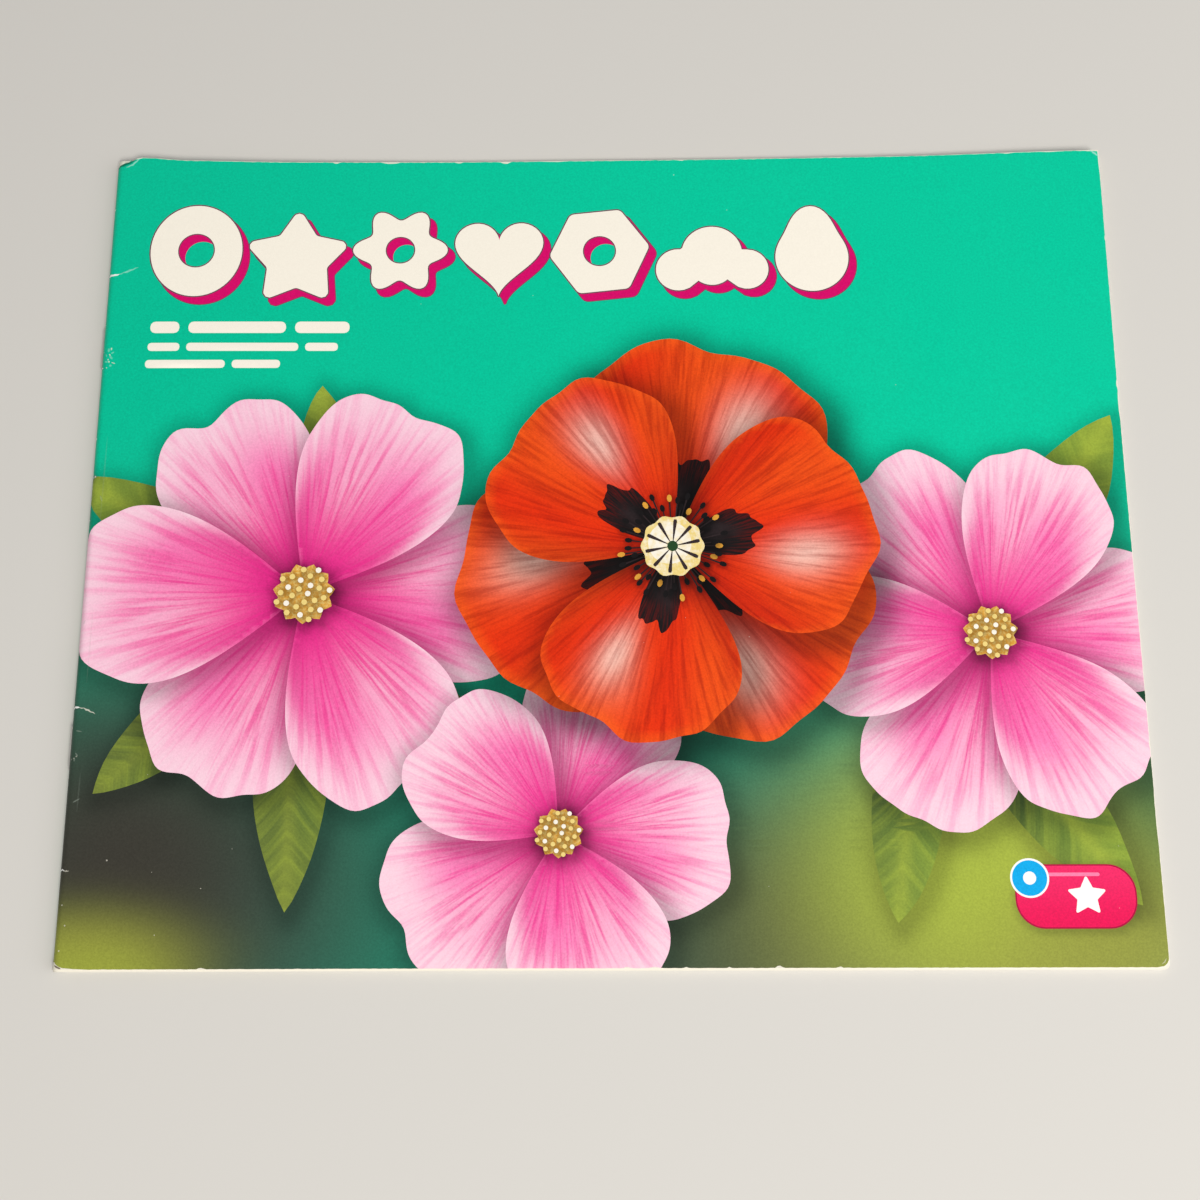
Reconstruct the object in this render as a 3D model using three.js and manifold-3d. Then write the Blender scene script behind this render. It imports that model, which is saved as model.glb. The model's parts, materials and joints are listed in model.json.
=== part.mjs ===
// A children's picture book: twelve leaves and a card cover, folded once and held by two wire staples
// through the fold, lying closed on its back cover.
// Millimetres. +X runs from the spine to the fore-edge, +Y from the tail to the head, +Z up.
// The origin is under the middle of the book, on the surface that it lies on.
//
// Each sheet of the book is one piece of paper, so its solids are a back leaf, a fold and a front leaf.
// The back leaves lie flat. The folds keep a hollow open at the spine, so the front leaves come down
// from it in a long shallow curve. When the book opens in the middle, its front half turns about the
// middle line of the folds, and the folds and staples turn half as far.

import * as THREE from 'three';
import { mergeVertices } from 'three/addons/utils/BufferGeometryUtils.js';
import Module from 'manifold-3d';

const wasm = await Module();
wasm.setup();

// Driving dimensions of the book
const WIDTH = 222;            // spine to fore-edge
const HEIGHT = 178;           // tail to head
const SHEETS = 6;             // folded sheets inside the cover, two leaves each
const LEAF = 0.095;           // thickness of a leaf
const COVER = 0.24;           // thickness of the cover
const AIR = 0.012;            // free space between neighbouring leaves
const FOLD_HOLLOW = 1.5;      // free height inside the innermost fold
const SWELL_REACH = 85;       // distance from the fold over which the front half comes down
const CREASE = 2.7;           // where the front cover bends when it opens, from the spine
const TAIL_STEP = 0.45;       // how far the pages stand out under the front cover at the tail

// Curl of the front cover's free upper corner
const CURL = 1.4;             // height of the corner above the flat cover, less than the fold's hollow
const CURL_WIDTH = 95;        // distance from the fore-edge over which it rises
const CURL_DEPTH = 80;        // distance from the head over which it rises
const CURL_POWER = 1.7;       // how sharply it rises

// Rounding of the fore-edge corners
const COVER_TAIL_CORNER = 1.8;
const LEAF_TAIL_CORNER = 0.8;
const HEAD_CORNER = 0.4;
const CORNER_STEPS = 3;

// Staples: how far from the head each crown begins, and its length
const STAPLES = [
  { fromHead: 40.3, length: 9.9 },
  { fromHead: 128.7, length: 9.3 },
];
const WIRE = 0.45;            // wire diameter
const WIRE_SIDES = 8;
const WIRE_STEPS = 46;
const BEND = 0.35;            // bend radius of the wire, at its middle
const CLINCH = 3.6;           // length of each leg that is pressed flat inside
const SEAT = 0.02;            // clearance between the wire and the paper
const HOLE_CLEARANCE = 0.02;

// Joints between solids
const LIP = 0.3;              // straight part of a fold, before its leaves begin
const SEAM = 0.02;            // gap where two solids of one sheet meet
const FOLD_STEPS = 12;

// Worked out from these
const TAIL = -HEIGHT / 2;
const HEAD = HEIGHT / 2;
const HALF_THICKNESS = COVER + SHEETS * (AIR + LEAF);
const FOLD_RADIUS = HALF_THICKNESS + FOLD_HOLLOW / 2;
const SWELL = FOLD_HOLLOW - AIR;
const LEAF_LEFT = FOLD_RADIUS + LIP;
const CROWN_PROUD = SEAT + WIRE;

// Distance of the outer face of sheet 1 (next to the cover) to sheet SHEETS (in the middle)
// from the outer face of the cover
const sheetDepth = (sheet) => COVER + AIR + (sheet - 1) * (LEAF + AIR);

// Height of the front half above the closed one, from SWELL at the fold down to nothing
function swellAt(x) {
  const share = THREE.MathUtils.clamp((x - FOLD_RADIUS) / SWELL_REACH, 0, 1);
  return SWELL * (1 - THREE.MathUtils.smoothstep(share, 0, 1));
}

// Height of the curled corner of the front cover
function curlAt(x, y) {
  const across = Math.max(0, 1 - (WIDTH - x) / CURL_WIDTH);
  const down = Math.max(0, 1 - (HEAD - y) / CURL_DEPTH);
  return CURL * across ** CURL_POWER * down ** CURL_POWER;
}

// Places across the width where a curved leaf changes direction
const SWELL_COLUMNS = [8, 17, 26, 35, 44, 53, 62, 71, 79, FOLD_RADIUS + SWELL_REACH];
const CURL_COLUMNS = [127, 141, 154, 166, 178, 189, 199, 208];
const CURL_ROWS = [9, 22, 34, 45, 55, 64, 72, 80];
const EDGE_COLUMN = WIDTH - 3;

// Rows of a sheet's outline: the corner rounding at its tail and head, and the given ones between
function rowsOf(tail, tailCorner, headCorner, between = []) {
  const rows = [];
  for (let step = 0; step <= CORNER_STEPS; step += 1) {
    const turn = (step / CORNER_STEPS) * (Math.PI / 2);
    rows.push(tail + tailCorner * (1 - Math.cos(turn)));
    rows.push(HEAD - headCorner * (1 - Math.cos(turn)));
  }
  rows.push(...between);
  return rows.sort((a, b) => a - b);
}

// Fore-edge of a sheet at the height y, with rounded corners
function foreEdgeAt(y, tail, tailCorner, headCorner) {
  const inTail = Math.max(0, tail + tailCorner - y);
  const inHead = Math.max(0, y - (HEAD - headCorner));
  const back = (radius, inside) => radius - Math.sqrt(Math.max(0, radius ** 2 - inside ** 2));
  return WIDTH - back(tailCorner, inTail) - back(headCorner, inHead);
}

// Closed sheet whose lower face is at under(x, y) and whose upper face is a thickness above that
function sheetGeometry({ columns, rows, lastColumn, thickness, under }) {
  const positions = [];
  const index = [];
  const wide = columns.length + 1;
  const tall = rows.length;
  const layer = wide * tall;
  for (const rise of [0, thickness]) {
    for (const y of rows) {
      for (const x of [...columns, lastColumn(y)]) {
        positions.push(x, y, under(x, y) + rise);
      }
    }
  }
  const quad = (a, b, c, d) => index.push(a, b, c, a, c, d);
  for (let row = 0; row < tall - 1; row += 1) {
    for (let column = 0; column < wide - 1; column += 1) {
      const corner = row * wide + column;
      const next = corner + wide;
      quad(corner, next, next + 1, corner + 1);
      quad(layer + corner, layer + corner + 1, layer + next + 1, layer + next);
    }
  }
  const wall = (a, b) => quad(a, b, layer + b, layer + a);
  for (let column = 0; column < wide - 1; column += 1) {
    const last = (tall - 1) * wide + column;
    wall(column, column + 1);
    wall(last + 1, last);
  }
  for (let row = 0; row < tall - 1; row += 1) {
    wall((row + 1) * wide, row * wide);
    wall((row + 1) * wide - 1, (row + 2) * wide - 1);
  }
  const geometry = new THREE.BufferGeometry();
  geometry.setAttribute('position', new THREE.Float32BufferAttribute(positions, 3));
  geometry.setIndex(index);
  geometry.computeVertexNormals();
  return geometry;
}

// Leaf or cover board of the back half, flat, with its lower face at the height z
function flatSheet(z, thickness, tail, tailCorner) {
  return sheetGeometry({
    columns: [LEAF_LEFT, EDGE_COLUMN],
    rows: rowsOf(tail, tailCorner, HEAD_CORNER),
    lastColumn: (y) => foreEdgeAt(y, tail, tailCorner, HEAD_CORNER),
    thickness,
    under: () => z,
  });
}

// Leaf of the front half, which comes down from the fold; z is its lower face where it lies flat
function curvedSheet(z, thickness) {
  return sheetGeometry({
    columns: [LEAF_LEFT, CREASE, ...SWELL_COLUMNS, EDGE_COLUMN],
    rows: rowsOf(TAIL, LEAF_TAIL_CORNER, HEAD_CORNER),
    lastColumn: (y) => foreEdgeAt(y, TAIL, LEAF_TAIL_CORNER, HEAD_CORNER),
    thickness,
    under: (x) => z + swellAt(x),
  });
}

// Front cover from its crease to the fore-edge, with the curled corner
function frontCover(z) {
  const tail = TAIL + TAIL_STEP;
  return sheetGeometry({
    columns: [CREASE + SEAM, ...SWELL_COLUMNS, ...CURL_COLUMNS, EDGE_COLUMN],
    rows: rowsOf(tail, COVER_TAIL_CORNER, HEAD_CORNER, CURL_ROWS.map((d) => HEAD - d)),
    lastColumn: (y) => foreEdgeAt(y, tail, COVER_TAIL_CORNER, HEAD_CORNER),
    thickness: COVER,
    under: (x, y) => z + swellAt(x) + curlAt(x, y),
  });
}

// Strip of the front cover between the fold and the crease
function hingeStrip(z) {
  return sheetGeometry({
    columns: [LEAF_LEFT],
    rows: [TAIL + TAIL_STEP, HEAD],
    lastColumn: () => CREASE,
    thickness: COVER,
    under: (x) => z + swellAt(x),
  });
}

// Closed solid for the boolean cuts
function toSolid(geometry) {
  const bare = geometry.clone();
  bare.deleteAttribute('normal');
  bare.deleteAttribute('uv');
  const merged = mergeVertices(bare);
  return new wasm.Manifold(new wasm.Mesh({
    numProp: 3,
    vertProperties: new Float32Array(merged.attributes.position.array),
    triVerts: new Uint32Array(merged.index.array),
  }));
}

function toGeometry(solid) {
  const mesh = solid.getMesh();
  const geometry = new THREE.BufferGeometry();
  geometry.setAttribute('position', new THREE.Float32BufferAttribute(mesh.vertProperties, mesh.numProp));
  geometry.setIndex(Array.from(mesh.triVerts));
  geometry.computeVertexNormals();
  return geometry;
}

// Heights, measured from the tail, of the staples' legs
const legHeights = STAPLES.flatMap(({ fromHead, length }) => [
  HEAD - fromHead - WIRE / 2,
  HEAD - fromHead - length + WIRE / 2,
]);

// Fold of one sheet: a half ring about the middle line of the folds, with a short straight lip at
// each end and a hole for each staple leg
function foldGeometry(depth, thickness, tail) {
  const outer = FOLD_RADIUS - depth;
  const inner = outer - thickness;
  const lip = LIP - SEAM;
  const section = new THREE.Shape();
  section.moveTo(lip, outer);
  section.absarc(0, 0, outer, Math.PI / 2, (3 * Math.PI) / 2, false);
  section.lineTo(lip, -outer);
  section.lineTo(lip, -inner);
  section.absarc(0, 0, inner, (3 * Math.PI) / 2, Math.PI / 2, true);
  section.lineTo(lip, inner);
  const ring = new THREE.ExtrudeGeometry(section, {
    depth: HEAD - tail,
    bevelEnabled: false,
    curveSegments: FOLD_STEPS,
  });
  ring.rotateX(Math.PI / 2);
  ring.translate(FOLD_RADIUS, HEAD, FOLD_RADIUS);
  let solid = toSolid(ring);
  for (const height of legHeights) {
    const hole = new THREE.CylinderGeometry(
      WIRE / 2 + HOLE_CLEARANCE, WIRE / 2 + HOLE_CLEARANCE, FOLD_RADIUS, WIRE_SIDES);
    hole.rotateZ(Math.PI / 2);
    hole.translate(FOLD_RADIUS / 2 - WIRE, height, FOLD_RADIUS);
    solid = solid.subtract(toSolid(hole));
  }
  return toGeometry(solid);
}

// One staple: its crown outside the spine, its legs through the folds and their ends pressed flat,
// towards each other, inside the innermost fold
function stapleGeometry({ fromHead, length }) {
  const crownX = -SEAT - WIRE / 2;
  const clinchX = FOLD_RADIUS - FOLD_HOLLOW / 2 + SEAT + WIRE / 2;
  const high = HEAD - fromHead - WIRE / 2;
  const low = HEAD - fromHead - length + WIRE / 2;
  const at = (x, y) => new THREE.Vector3(x, y, FOLD_RADIUS);
  const corners = [
    at(clinchX, high - CLINCH),
    at(clinchX, high),
    at(crownX, high),
    at(crownX, low),
    at(clinchX, low),
    at(clinchX, low + CLINCH),
  ];
  const path = new THREE.CurvePath();
  let from = corners[0];
  for (let n = 1; n < corners.length - 1; n += 1) {
    const before = corners[n].clone().sub(corners[n - 1]).setLength(BEND);
    const after = corners[n + 1].clone().sub(corners[n]).setLength(BEND);
    const start = corners[n].clone().sub(before);
    const end = corners[n].clone().add(after);
    path.add(new THREE.LineCurve3(from, start));
    path.add(new THREE.QuadraticBezierCurve3(start, corners[n], end));
    from = end;
  }
  path.add(new THREE.LineCurve3(from, corners.at(-1)));
  const section = new THREE.Shape();
  for (let side = 0; side < WIRE_SIDES; side += 1) {
    const turn = (side / WIRE_SIDES) * 2 * Math.PI;
    const point = [Math.cos(turn) * (WIRE / 2), Math.sin(turn) * (WIRE / 2)];
    if (side === 0) section.moveTo(...point);
    else section.lineTo(...point);
  }
  return new THREE.ExtrudeGeometry(section, {
    steps: WIRE_STEPS,
    bevelEnabled: false,
    extrudePath: path,
  });
}

const PRINTED_CARD = { color: 0x00bf92, roughness: 0.38, metalness: 0 };
const PAGE_PAPER = { color: 0xf4efe2, roughness: 0.62, metalness: 0 };
const STEEL_WIRE = { color: 0xb9b7b0, roughness: 0.32, metalness: 1 };

const book = new THREE.Group();
// the staple crowns stand out of the spine, so the middle of the whole width is off the paper's
book.position.x = -(WIDTH - CROWN_PROUD) / 2;

function add(name, geometry, finish) {
  const mesh = new THREE.Mesh(geometry, new THREE.MeshStandardMaterial(finish));
  mesh.name = name;
  book.add(mesh);
}

const CLOSED_THICKNESS = 2 * HALF_THICKNESS + AIR;

add('cover_back', flatSheet(0, COVER, TAIL, LEAF_TAIL_CORNER), PRINTED_CARD);
add('cover_spine', foldGeometry(0, COVER, TAIL + TAIL_STEP), PRINTED_CARD);
add('cover_hinge', hingeStrip(CLOSED_THICKNESS - COVER), PRINTED_CARD);
add('cover_front', frontCover(CLOSED_THICKNESS - COVER), PRINTED_CARD);

for (let sheet = 1; sheet <= SHEETS; sheet += 1) {
  const depth = sheetDepth(sheet);
  add(`leaf_front_${sheet}`, curvedSheet(CLOSED_THICKNESS - depth - LEAF, LEAF), PAGE_PAPER);
  add(`fold_${sheet}`, foldGeometry(depth, LEAF, TAIL), PAGE_PAPER);
  add(`leaf_back_${sheet}`, flatSheet(depth, LEAF, TAIL, LEAF_TAIL_CORNER), PAGE_PAPER);
}

STAPLES.forEach((staple, n) => {
  add(`staple_${n + 1}`, stapleGeometry(staple), STEEL_WIRE);
});

export default book;
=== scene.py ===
"""Looks of a stapled paperback picture book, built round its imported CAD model.

Every printed face is a flat drawing of outlines in page millimetres (x from the spine's outside, y
from the tail). The outlines of both faces of a sheet are cut into one triangle mesh, which is laid
on the sheet's real shape. Each corner of a triangle carries its ink, the ink of the veins in it and
the direction in which they flow, and one material prints them.
"""

import json
import math
import random
from dataclasses import dataclass
from typing import Callable

import bpy
import numpy as np
from mathutils import Matrix, Vector
from mathutils.geometry import delaunay_2d_cdt


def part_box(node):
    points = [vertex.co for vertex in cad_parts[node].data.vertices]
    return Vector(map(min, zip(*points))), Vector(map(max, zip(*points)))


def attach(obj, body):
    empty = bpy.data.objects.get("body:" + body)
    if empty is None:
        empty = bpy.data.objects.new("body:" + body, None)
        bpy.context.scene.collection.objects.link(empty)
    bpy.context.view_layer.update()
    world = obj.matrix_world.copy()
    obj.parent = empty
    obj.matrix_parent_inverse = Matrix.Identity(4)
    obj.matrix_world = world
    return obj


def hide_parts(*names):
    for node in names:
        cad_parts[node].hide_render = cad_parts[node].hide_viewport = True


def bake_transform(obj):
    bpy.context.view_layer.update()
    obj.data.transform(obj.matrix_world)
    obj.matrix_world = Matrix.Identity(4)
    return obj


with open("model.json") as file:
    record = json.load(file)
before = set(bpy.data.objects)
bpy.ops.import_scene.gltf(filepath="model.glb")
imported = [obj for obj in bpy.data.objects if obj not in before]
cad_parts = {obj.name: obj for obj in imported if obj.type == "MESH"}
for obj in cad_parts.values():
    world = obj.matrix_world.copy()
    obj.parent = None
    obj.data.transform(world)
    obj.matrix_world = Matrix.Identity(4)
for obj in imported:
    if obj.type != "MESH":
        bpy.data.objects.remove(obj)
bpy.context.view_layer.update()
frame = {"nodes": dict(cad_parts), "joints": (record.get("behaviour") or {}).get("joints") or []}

MM = 0.001
MERGE = 0.002                    # points of a drawing closer than this, in mm, become one
TINY = 1e-9
RANDOM = random.Random(7)
QUARTER, FULL = math.pi / 2, 2 * math.pi

# ---- the book's measures, in mm

JOINTS = {joint["name"]: joint for joint in frame["joints"]}
SPINE_LOW, SPINE_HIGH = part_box("cover_spine")
LEAF_LOW, LEAF_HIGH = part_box("leaf_back_1")
FRONT_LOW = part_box("cover_front")[0]
BACK_LOW, BACK_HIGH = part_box("cover_back")

ORIGIN_X = SPINE_LOW[0]          # page x = 0, the outside of the spine
ORIGIN_Y = LEAF_LOW[1]           # page y = 0, the tail of the pages
WIDTH = (LEAF_HIGH[0] - ORIGIN_X) / MM
HEIGHT = (LEAF_HIGH[1] - ORIGIN_Y) / MM
COVER_TAIL = (FRONT_LOW[1] - ORIGIN_Y) / MM
COVER_HEAD, COVER_FORE, BACK_FORE = HEIGHT - 0.1, WIDTH - 0.15, WIDTH - 0.1
CARD = (BACK_HIGH[2] - BACK_LOW[2]) / MM
LEAF = (LEAF_HIGH[2] - LEAF_LOW[2]) / MM
FOLD_X = (JOINTS["middle_opening"]["pos_m"][0] - ORIGIN_X) / MM
FOLD_RADIUS = JOINTS["middle_opening"]["pos_m"][2] / MM
FOLD_LENGTH = math.pi * FOLD_RADIUS
SEAM_X = (LEAF_LOW[0] - ORIGIN_X) / MM         # where the leaves meet their folds
FOLD_END = FOLD_X - FOLD_LENGTH - (SEAM_X - FOLD_X)
CREASE_X = (JOINTS["cover_opening"]["pos_m"][0] - ORIGIN_X) / MM
BEND = 0.5                       # half the width of the cover's bend at its crease
FLAT_TOP = FRONT_LOW[2] / MM + CARD            # top of the front cover where it lies flat
SHEETS = sum(name.startswith("fold_") for name in frame["nodes"])
CLINCH, BEND_RADIUS = 3.6, 0.4   # length of a staple's bent end, and radius of its middle line
WIRE_SIDES, WIRE_TIP = 14, 0.62  # faces round a staple's wire, and share of its width at its end

SWELL = SPINE_HIGH[2] / MM - FLAT_TOP          # how much higher the front cover is at the fold
SWELL_REACH = 85.0               # distance from the fold over which the swell comes down
CURL = 1.4                       # height of the front cover's curled upper corner
CURL_WIDTH, CURL_DEPTH, CURL_POWER = 95.0, 80.0, 1.7
FAN = 0.72                       # share of a sheet's curl that the next one below it keeps
LIP, LIP_DEPTH = 0.66, 4.0       # how far the front cover's head stands out near the spine
LIP_START, LIP_TOP, LIP_END = 3.4, 5.2, 17.0
HOLLOW, HOLLOW_DEPTH = 0.5, 30.0               # how far the head of all sheets is hollow
HOLLOW_START, HOLLOW_FULL, HOLLOW_FADE = 8, 40, 175
SPLAY, SPLAY_HEIGHT, SPLAY_WIDTH = 0.32, 2.8, 4.4   # bulge of the tail's corner by the spine
DENTS = [                        # steepness of each bent corner, and the line along which it bends
    (0.24, (-1.4, 175.4), (5.2, 177.9)), (0.1, (220.2, 178.0), (221.9, 176.5)),
]

ART_STEP, PAGE_ART_STEP, PLAIN_STEP = 1.4, 2.5, 8   # meshes of the cover, printed and plain pages
EDGE_STEP, LIP_STEP = 6, 0.7     # between the points of an uneven cut edge, and of the lip
CARD_STEP, PAPER_STEP, FOLD_RISE = 0.33, 0.4, 20    # meshes of the folds
COVER_ROUGH, PAGE_ROUGH = 0.03, 0.02           # how far a cut edge leaves its straight line
FRONT_CORNERS, BACK_CORNERS, PAGE_CORNERS = (2.1, 0.4), (1.2, 0.4), (1.2, 0.3)   # radius, tail and head

SHADE_FADED = 2.5                # reaches after which a shade is too faint to show
VEIN_SHIFT = 0.37                # between the vein patterns of two shapes
SOFT_GAIN = 1.3                  # the layers of a soft streak overlap only in its middle


# ---- colours

def ink(red, green, blue):
    """Linear colour of an sRGB one given from 0 to 255."""
    srgb = np.array([red, green, blue], float) / 255
    return np.where(srgb <= 0.04045, srgb / 12.92, ((srgb + 0.055) / 1.055) ** 2.4)


# the middle ink on the next line is partly painted light: the cover's ground grows towards it on the right,
# the lamps' side
TEAL, TEAL_LIGHT, TEAL_DEEP = ink(0, 194, 153), ink(0, 202, 159), ink(0, 128, 104)
CHARCOAL, OLIVE, LIME = ink(60, 58, 51), ink(146, 150, 62), ink(172, 190, 66)
LEAF_GREEN, LEAF_SHADE = ink(96, 140, 52), ink(40, 72, 40)
PINK_PALE, PINK, PINK_HOT = ink(252, 218, 230), ink(250, 130, 186), ink(236, 44, 140)
MAGENTA, WINE = ink(216, 8, 106), ink(158, 14, 92)
RED, ORANGE, RED_DEEP = ink(228, 36, 8), ink(250, 96, 26), ink(150, 14, 6)
BLACK, SOOT, OUTLINE_GREY = ink(24, 21, 22), ink(56, 44, 46), ink(112, 72, 88)
CREAM, YELLOW, GOLD = ink(252, 245, 230), ink(240, 214, 132), ink(222, 160, 60)
CRIMSON, CRIMSON_LIGHT, CRIMSON_RIM = ink(232, 8, 84), ink(255, 70, 130), ink(170, 0, 60)
CYAN, WHITE, ROSE = ink(0, 170, 234), ink(250, 249, 246), ink(255, 130, 170)
# the last ink on the next line is painted shade, for the dark gap under torn fibres
PAGE_WHITE, BARE_CARD, GAP_SHADE = ink(238, 232, 217), ink(240, 234, 218), ink(86, 70, 44)
PAGE_SHADE, CARD_SHADE = ink(226, 219, 202), ink(222, 212, 190)    # between the fibres
WIRE_DARK, WIRE_LIGHT, FLOOR_GREY = ink(178, 175, 167), ink(232, 230, 224), ink(214, 211, 205)
GLINT = ink(160, 228, 210)       # light on a crease of the film
SCUFF_AND_GLINT = ink(150, 160, 148)       # film rubbed dull, mixed in pale as a painted highlight
FOLD_DARK = ink(0, 78, 62)       # shade beside a fold of the film


def blend_ink(first, second, share):
    """Mix of two inks, with one share for each point."""
    share = np.clip(share, 0, 1)[:, None]
    return first * (1 - share) + second * share


def layered(colour, *coats):
    """The colour under coats of other inks, each with its share for each point."""
    for tone, share in coats:
        colour = blend_ink(colour, tone, share)
    return colour


def smooth(low, high, value):
    share = np.clip((value - low) / (high - low), 0, 1)
    return share * share * (3 - 2 * share)


def hill(value, width):
    """1 where the value is 0, and falling away on both sides over the width."""
    return np.exp(-(value / width) ** 2)


# ---- drawing: outlines and paints

@dataclass
class Shape:
    """One area of print. paint(points) gives the ink, the veins' ink, their strength and their
    direction, each as one value or as one for each point."""
    outline: np.ndarray
    paint: Callable
    shadow: tuple = ()           # offset x, offset y, reach, strength of the shade that it throws
    inside: object = None        # another shape, outside which this one doesn't show


@dataclass
class Mark:
    """A worn place, a painted shade or a painted highlight over the print: a colour that is mixed in."""
    outline: np.ndarray
    colour: np.ndarray
    strength: float


def flat_paint(colour, vein=None, strength=0.0, scale=0.3):
    return lambda points: (colour, colour if vein is None else vein, strength, points * scale)


def patch(outline, colour, shadow=()):
    """Shape of one ink."""
    return Shape(outline, flat_paint(colour), shadow)


def polar(radii, angles):
    return np.stack([radii * np.cos(angles), radii * np.sin(angles)], 1)


def away(x, y, far, angle):
    return x + far * math.cos(angle), y + far * math.sin(angle)


def ellipse(x, y, wide, tall=None, count=40, turn=0.0):
    angles = np.linspace(0, FULL, count, endpoint=False)
    ring = np.stack([np.cos(angles) * wide / 2, np.sin(angles) * (tall or wide) / 2], 1)
    cos, sin = math.cos(turn), math.sin(turn)
    return ring @ np.array([[cos, sin], [-sin, cos]]) + (x, y)


def rounded_box(x, y, wide, tall, radius, steps=9):
    """Rectangle about (x, y) with round corners."""
    points = []
    for corner, (across, up) in enumerate([(1, 1), (-1, 1), (-1, -1), (1, -1)]):
        for step in range(steps + 1):
            angle = (corner + step / steps) * QUARTER
            points.append(away(across * (wide / 2 - radius), up * (tall / 2 - radius), radius, angle))
    return np.array(points) + (x, y)


def polar_outline(x, y, radius_at, count):
    """Closed outline whose distance from (x, y) is radius_at(angle)."""
    angles = np.linspace(0, FULL, count, endpoint=False)
    return polar(np.array([radius_at(angle) for angle in angles]), angles) + (x, y)


def grown(outline, amount):
    """The outline, given anticlockwise, moved outwards by an amount."""
    way = np.roll(outline, -1, axis=0) - np.roll(outline, 1, axis=0)
    way = way / np.maximum(np.hypot(way[:, 0], way[:, 1]), TINY)[:, None]
    return outline + amount * np.stack([way[:, 1], -way[:, 0]], 1)


@dataclass
class Petal:
    """Fan from its base: it reaches `length` along `turn` and spreads by `spread` to each side."""
    x: float
    y: float
    turn: float
    length: float
    spread: float
    power: float                 # how square the tip is
    frill: float = 0.0           # waves of the edge, as a share of the length
    notch: float = 0.0           # dip in the middle of the tip
    seed: int = 0

    def reach(self, across):
        """Distance from the base to the edge; across runs from -1 to 1."""
        across = np.clip(across, -1, 1)
        body = (1 - np.abs(across) ** self.power) ** (1 / self.power)
        phase = self.seed * 1.7
        waves = (np.sin(across * 8 + phase) + 0.6 * np.sin(across * 15 + 2 * phase)
                 + 0.2 * np.sin(across * 27 + 3 * phase))
        return self.length * body * (1 + self.frill * waves - self.notch * hill(across, 0.16))

    def outline(self, count=101):
        # closer steps at the two sides, where the edge runs back to the base
        across = np.sin(np.linspace(-QUARTER, QUARTER, count))
        reach = np.maximum(self.reach(across), 0.2)
        return polar(reach, self.turn + across * self.spread) + (self.x, self.y)

    def place(self, points):
        """Distance from the base in petal lengths, place across from -1 to 1, share of the way from
        the base to the edge, and angle from the middle."""
        offset = points - (self.x, self.y)
        far = np.hypot(offset[:, 0], offset[:, 1])
        angle = np.arctan2(offset[:, 1], offset[:, 0]) - self.turn
        angle = (angle + math.pi) % FULL - math.pi
        across = np.clip(angle / self.spread, -1, 1)
        share = np.clip(far / np.maximum(self.reach(across), 1e-6), 0, 1)
        return far / self.length, across, share, angle


def pink_paint(petal, light):
    """Streaked petal, hot pink at its base and pale at its edge."""
    def paint(points):
        far, across, share, angle = petal.place(points)
        rim = smooth(0.62, 1.0, share + 0.5 * light) * smooth(0.3, 0.62, far)
        side = smooth(0.45, 1.0, np.abs(across)) * smooth(1.0, 0.55, share)
        glow = hill(across - 0.25, 0.3) * hill(share - 0.62, 0.25)
        colour = layered(PINK_HOT, (PINK, smooth(0.12, 0.75, far + light)), (PINK_PALE, 0.9 * rim),
                         (WINE, 0.55 * smooth(0.3, 0.0, far)), (WINE, 0.25 * side),
                         (PINK_PALE, 0.45 * glow))
        vein = blend_ink(PINK_HOT, PINK, smooth(0.5, 1.0, share))
        strength = 0.75 * (1 - 0.5 * smooth(0.7, 1, share))
        return colour, vein, strength, np.stack([angle * 26 + petal.seed * 9, far * 2.2], 1)
    return paint


def red_paint(petal):
    """Silky red-orange petal with folds that catch the light."""
    def paint(points):
        far, across, share, angle = petal.place(points)
        folds = 0.5 + 0.5 * np.sin(across * 7.5 + petal.seed * 2.1 + 1.2 * share)
        rim = smooth(0.93, 1.0, share) * smooth(0.4, 0.7, far)
        glint = hill(across + 0.25, 0.16) * hill(share - 0.66, 0.17)
        colour = layered(RED, (ORANGE, 0.15 + 0.55 * folds * smooth(0.15, 0.9, share)),
                         (RED_DEEP, 0.55 * smooth(0.42, 0.1, far)),
                         (RED_DEEP, 0.4 * smooth(0.55, 1.0, np.abs(across))),
                         (ORANGE, 0.6 * rim), (CREAM, 0.55 * glint))
        return colour, RED_DEEP, 0.5, np.stack([angle * 30 + petal.seed * 5, far * 2.6], 1)
    return paint


def blotch_paint(petal):
    """Black mark at the foot of a petal, with a soft sheen."""
    def paint(points):
        far, across, share, angle = petal.place(points)
        sheen = hill(share - 0.55, 0.2) * hill(across - 0.2, 0.35)
        colour = blend_ink(BLACK, SOOT, 0.8 * sheen)
        return colour, RED_DEEP, 0.35 * smooth(0.6, 1, share), np.stack([angle * 40, far * 3], 1)
    return paint


def leaf_paint(petal, dark):
    """Green leaf with a pale midrib and side veins."""
    def paint(points):
        far, across, share, angle = petal.place(points)
        colour = layered(LEAF_SHADE, (LEAF_GREEN, smooth(-0.9, 0.6, across)),
                         (LIME, 0.5 * smooth(0.3, 1, far) + 0.2 * smooth(0.2, 0.6, across)),
                         (LIME, 0.7 * hill(across, 0.07)),
                         (CHARCOAL, dark + 0.3 * smooth(0.3, 0, far)))
        flow = np.stack([far * 14 - np.abs(across) * 7, across * 0.6 + petal.seed], 1)
        return colour, LIME, 0.35, flow
    return paint


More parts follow.
